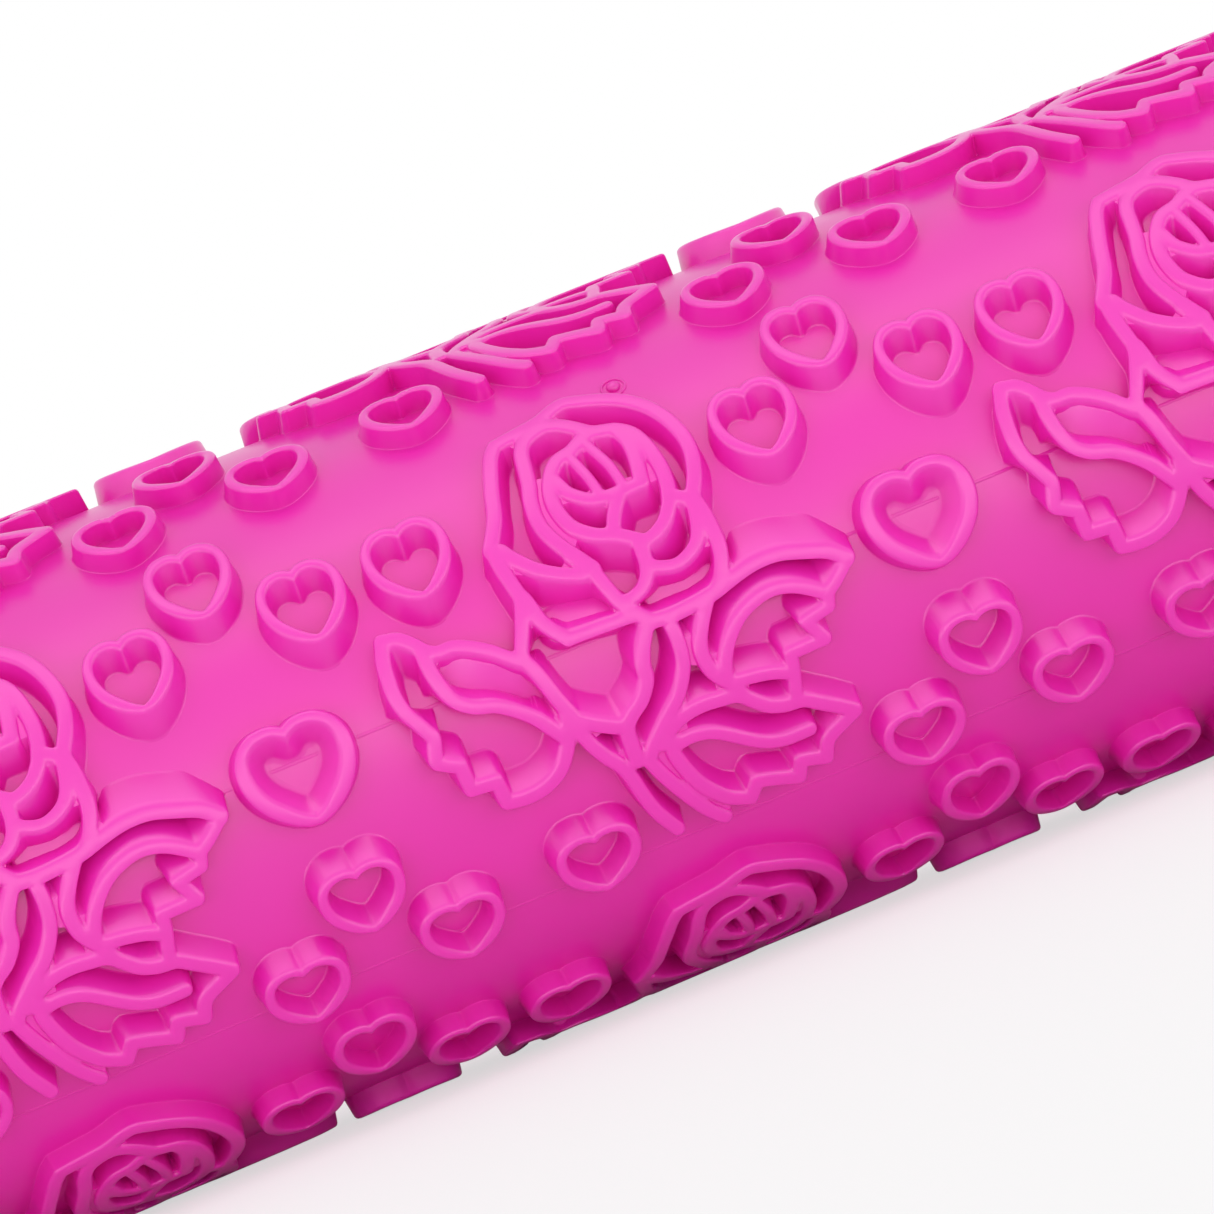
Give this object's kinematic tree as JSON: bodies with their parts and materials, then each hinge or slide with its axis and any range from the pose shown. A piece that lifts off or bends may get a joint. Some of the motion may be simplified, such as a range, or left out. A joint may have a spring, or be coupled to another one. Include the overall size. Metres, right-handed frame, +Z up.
{
  "type": "embossed rolling pin",
  "caption": "Moulded plastic rolling pin with raised rose sprays and heart rings; the barrel turns freely on an axle between two fixed grips.",
  "frame": {"origin": "middle of the barrel, on the axle's centre line", "axes": "+X along the axle towards the right grip, -Y towards the viewer of the pictured side, +Z up"},
  "size_m": [0.3842, 0.05, 0.05],
  "materials": {
    "pink_plastic": "glossy hot-pink moulded plastic",
    "nylon": "satin off-white nylon",
    "steel": "bright drawn steel"
  },
  "bodies": {
    "grips": {"axle_rod": "steel", "thrust_washer_left": "nylon", "thrust_washer_right": "nylon", "grip_left": "pink_plastic", "grip_right": "pink_plastic", "steel_washer_left": "steel", "steel_washer_right": "steel", "lock_nut_left": "steel", "lock_nut_right": "steel", "end_plug_left": "pink_plastic", "end_plug_right": "pink_plastic"},
    "roller": {"embossed_barrel": "pink_plastic", "end_cap_left": "pink_plastic", "end_cap_right": "pink_plastic", "bearing_bush_left": "nylon", "bearing_bush_right": "nylon"}
  },
  "joints": [
    {"name": "roller_spin", "type": "hinge", "parent": "grips", "child": "roller", "pos_m": [0, 0, 0], "axis": [1, 0, 0], "continuous": true}
  ]
}
